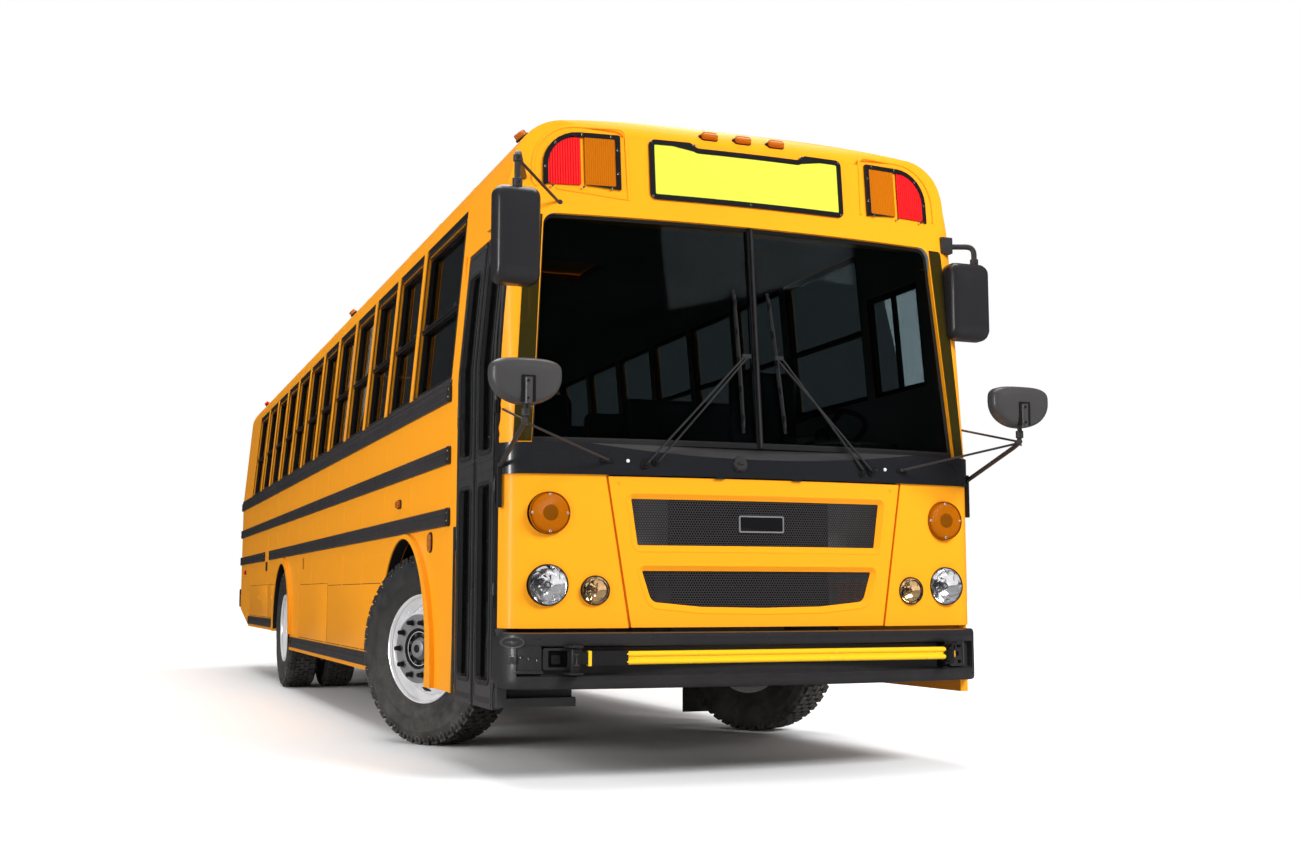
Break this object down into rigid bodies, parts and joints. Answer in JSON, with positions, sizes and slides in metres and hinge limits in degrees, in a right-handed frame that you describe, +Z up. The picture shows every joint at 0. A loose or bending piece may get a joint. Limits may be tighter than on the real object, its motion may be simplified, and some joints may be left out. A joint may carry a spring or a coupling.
{
  "type": "school bus",
  "caption": "Flat-front school bus with hollow cabin, seats, two-leaf entrance door, steered front wheels, twin rear wheels and swinging crossing and stop arms.",
  "frame": {"origin": "on the ground under the centre of the bus", "axes": "-Y towards the front, +X towards the driver's (left) side, +Z up"},
  "size_m": [2.7578, 12.135, 3.136],
  "materials": {
    "yellow_paint": "gloss",
    "black_paint": "satin",
    "black_plastic": "matt",
    "tyre": "matt",
    "polished_aluminium": "polished",
    "glass": "gloss",
    "cast_iron": "rough",
    "steel": "satin",
    "seat_cover": "satin",
    "lens": "gloss",
    "floor_cover": "matt",
    "sign_panel": "gloss",
    "red_paint": "gloss"
  },
  "bodies": {
    "coach": {"chassis_frame": "cast_iron", "cowl": "black_paint", "dashboard": "black_plastic", "driver_seat": "seat_cover", "engine": "cast_iron", "entrance_steps": "floor_cover", "exhaust": "steel", "floor": "floor_cover", "front_axle": "cast_iron", "front_bumper": "black_paint", "front_cap": "yellow_paint", "front_lamps": "lens", "front_panel": "yellow_paint", "fuel_tank": "steel", "left_wall": "yellow_paint", "mirrors": "black_plastic", "mud_flaps": "black_plastic", "passenger_seats": "seat_cover", "radiator": "steel", "rear_axle": "cast_iron", "rear_bumper": "black_paint", "rear_lamps": "lens", "rear_wall": "yellow_paint", "right_wall": "yellow_paint", "roof": "yellow_paint", "rub_rails": "black_paint", "sign_panels": "sign_panel", "springs": "cast_iron", "stop_arm_bracket": "black_paint", "wheel_housings": "cast_iron", "window_frames": "black_plastic", "window_glass": "glass", "windshield": "glass", "wipers": "black_paint"},
    "front_left_wheel": {"front_left_tyre": "tyre", "front_left_wheel": "polished_aluminium"},
    "front_right_wheel": {"front_right_tyre": "tyre", "front_right_wheel": "polished_aluminium"},
    "rear_left_wheels": {"rear_left_tyres": "tyre", "rear_left_wheels": "polished_aluminium"},
    "rear_right_wheels": {"rear_right_tyres": "tyre", "rear_right_wheels": "polished_aluminium"},
    "left_knuckle": {"left_knuckle": "cast_iron"},
    "right_knuckle": {"right_knuckle": "cast_iron"},
    "tie_rod": {"tie_rod": "cast_iron"},
    "steering_wheel": {"steering_wheel": "black_plastic"},
    "entrance_door_front": {"entrance_door_front": "black_paint", "entrance_glass_front": "glass"},
    "entrance_door_rear": {"entrance_door_rear": "black_paint", "entrance_glass_rear": "glass"},
    "rear_door": {"rear_door": "yellow_paint", "rear_door_glass": "glass"},
    "crossing_arm": {"crossing_arm": "yellow_paint"},
    "stop_arm": {"stop_arm": "red_paint"},
    "grille_hatch": {"grille_hatch": "yellow_paint", "grille_mesh": "black_plastic"},
    "front_roof_hatch": {"front_roof_hatch": "yellow_paint"},
    "rear_roof_hatch": {"rear_roof_hatch": "yellow_paint"}
  },
  "joints": [
    {"name": "steer_left", "type": "hinge", "parent": "coach", "child": "left_knuckle", "pos_m": [0.86, -3.51, 0.53], "axis": [0, 0, 1], "range_deg": [-68, 12]},
    {"name": "steer_right", "type": "hinge", "parent": "coach", "child": "right_knuckle", "pos_m": [-0.86, -3.51, 0.53], "axis": [0, 0, 1], "range_deg": [-68, 12]},
    {"name": "tie_rod_swing", "type": "hinge", "parent": "left_knuckle", "child": "tie_rod", "pos_m": [0.76611, -3.33341, 0.385], "axis": [0, 0, 1], "range_deg": [-12, 68]},
    {"name": "front_left_spin", "type": "hinge", "parent": "left_knuckle", "child": "front_left_wheel", "pos_m": [1.03129, -3.41892, 0.53], "axis": [0.8829, 0.4695, 0], "continuous": true},
    {"name": "front_right_spin", "type": "hinge", "parent": "right_knuckle", "child": "front_right_wheel", "pos_m": [-1.03129, -3.60108, 0.53], "axis": [0.8829, 0.4695, 0], "continuous": true},
    {"name": "rear_left_spin", "type": "hinge", "parent": "coach", "child": "rear_left_wheels", "pos_m": [0.91, 2, 0.53], "axis": [1, 0, 0], "continuous": true},
    {"name": "rear_right_spin", "type": "hinge", "parent": "coach", "child": "rear_right_wheels", "pos_m": [-0.91, 2, 0.53], "axis": [1, 0, 0], "continuous": true},
    {"name": "entrance_front_swing", "type": "hinge", "parent": "coach", "child": "entrance_door_front", "pos_m": [-1.216, -5.499, 1.4], "axis": [0, 0, 1], "range_deg": [0, 85]},
    {"name": "entrance_rear_swing", "type": "hinge", "parent": "coach", "child": "entrance_door_rear", "pos_m": [-1.216, -4.789, 1.4], "axis": [0, 0, 1], "range_deg": [-85, 0]},
    {"name": "rear_door_swing", "type": "hinge", "parent": "coach", "child": "rear_door", "pos_m": [-0.487, 5.92, 1.755], "axis": [0, 0, 1], "range_deg": [0, 110]},
    {"name": "crossing_arm_swing", "type": "hinge", "parent": "coach", "child": "crossing_arm", "pos_m": [-0.915, -5.742, 0.552], "axis": [0, 0, -1], "range_deg": [0, 90]},
    {"name": "stop_arm_swing", "type": "hinge", "parent": "coach", "child": "stop_arm", "pos_m": [1.277, -4.295, 1.72], "axis": [0, 0, -1], "range_deg": [0, 90]},
    {"name": "grille_hatch_lift", "type": "hinge", "parent": "coach", "child": "grille_hatch", "pos_m": [0, -5.721, 1.354], "axis": [-1, 0, 0], "range_deg": [0, 80]},
    {"name": "front_roof_hatch_lift", "type": "hinge", "parent": "coach", "child": "front_roof_hatch", "pos_m": [0, -2.7, 3.108], "axis": [1, 0, 0], "range_deg": [0, 70]},
    {"name": "rear_roof_hatch_lift", "type": "hinge", "parent": "coach", "child": "rear_roof_hatch", "pos_m": [0, 2.7, 3.108], "axis": [1, 0, 0], "range_deg": [0, 70]},
    {"name": "steering_wheel_turn", "type": "hinge", "parent": "coach", "child": "steering_wheel", "pos_m": [0.72, -4.94, 1.68], "axis": [0, 0.4226, 0.9063], "range_deg": [-1224, 216]}
  ],
  "couplings": [
    {"joint": "steer_right", "follows": "steer_left", "ratio": 1},
    {"joint": "tie_rod_swing", "follows": "steer_left", "ratio": -1},
    {"joint": "steering_wheel_turn", "follows": "steer_left", "ratio": 18},
    {"joint": "entrance_rear_swing", "follows": "entrance_front_swing", "ratio": -1}
  ]
}
